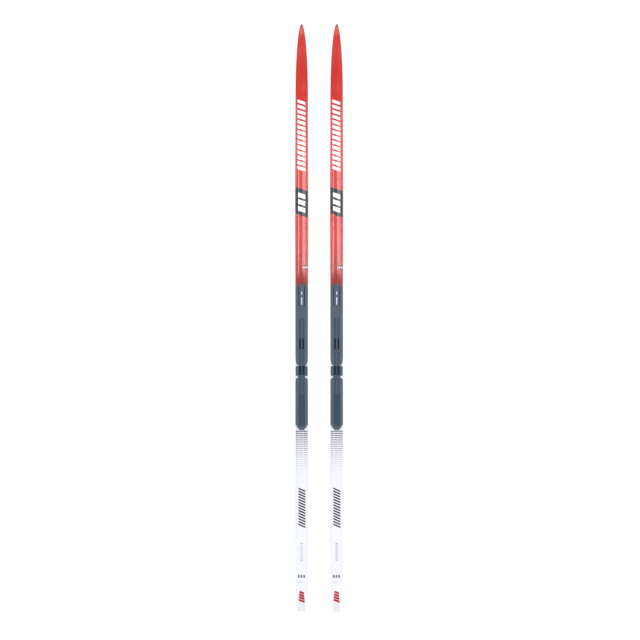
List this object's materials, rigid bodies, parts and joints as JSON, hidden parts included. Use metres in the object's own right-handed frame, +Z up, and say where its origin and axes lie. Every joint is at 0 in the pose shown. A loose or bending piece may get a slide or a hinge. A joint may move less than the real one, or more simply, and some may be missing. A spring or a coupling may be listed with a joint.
{
  "type": "cross country ski pair",
  "caption": "Classic cross country racing skis with a pointed tip, ridged cap, camber and bare slide-on binding plates, lying side by side on their bases.",
  "frame": {"origin": "on the ground, midway between the two skis and midway between tips and tails", "axes": "+Y towards the tips, +Z up, +X to the skier's right"},
  "size_m": [0.1656, 2.02, 0.0638],
  "materials": {
    "sintered_base": "matte, stone ground",
    "edge_plastic": "satin",
    "fibre_laminate": "resin gloss",
    "foam_core": "matte foam",
    "binding_block": "matte dense foam",
    "spacer_plastic": "satin",
    "topsheet_film": "high gloss printed film, red front, white rear",
    "tip_guard_plastic": "satin",
    "tail_guard_plastic": "satin",
    "plate_plastic": "fine moulded grain",
    "link_plastic": "fine moulded grain",
    "adhesive": "cured clear film"
  },
  "bodies": {
    "left_ski": {"left_ski_running_base": "sintered_base", "left_ski_left_edge_strip": "edge_plastic", "left_ski_right_edge_strip": "edge_plastic", "left_ski_bottom_laminate": "fibre_laminate", "left_ski_top_laminate": "fibre_laminate", "left_ski_front_core": "foam_core", "left_ski_rear_core": "foam_core", "left_ski_binding_block": "binding_block", "left_ski_tip_spacer": "spacer_plastic", "left_ski_tail_spacer": "spacer_plastic", "left_ski_topsheet": "topsheet_film", "left_ski_tip_guard": "tip_guard_plastic", "left_ski_tail_guard": "tail_guard_plastic", "left_ski_front_plate": "plate_plastic", "left_ski_link_plate": "link_plastic", "left_ski_rear_plate": "plate_plastic", "left_ski_front_plate_bond": "adhesive", "left_ski_link_plate_bond": "adhesive", "left_ski_rear_plate_bond": "adhesive"},
    "right_ski": {"right_ski_running_base": "sintered_base", "right_ski_left_edge_strip": "edge_plastic", "right_ski_right_edge_strip": "edge_plastic", "right_ski_bottom_laminate": "fibre_laminate", "right_ski_top_laminate": "fibre_laminate", "right_ski_front_core": "foam_core", "right_ski_rear_core": "foam_core", "right_ski_binding_block": "binding_block", "right_ski_tip_spacer": "spacer_plastic", "right_ski_tail_spacer": "spacer_plastic", "right_ski_topsheet": "topsheet_film", "right_ski_tip_guard": "tip_guard_plastic", "right_ski_tail_guard": "tail_guard_plastic", "right_ski_front_plate": "plate_plastic", "right_ski_link_plate": "link_plastic", "right_ski_rear_plate": "plate_plastic", "right_ski_front_plate_bond": "adhesive", "right_ski_link_plate_bond": "adhesive", "right_ski_rear_plate_bond": "adhesive"}
  },
  "joints": [
    {"name": "stride", "type": "slide", "parent": "left_ski", "child": "right_ski", "axis": [0, 1, 0], "range_m": [-0.4, 0.4]}
  ]
}
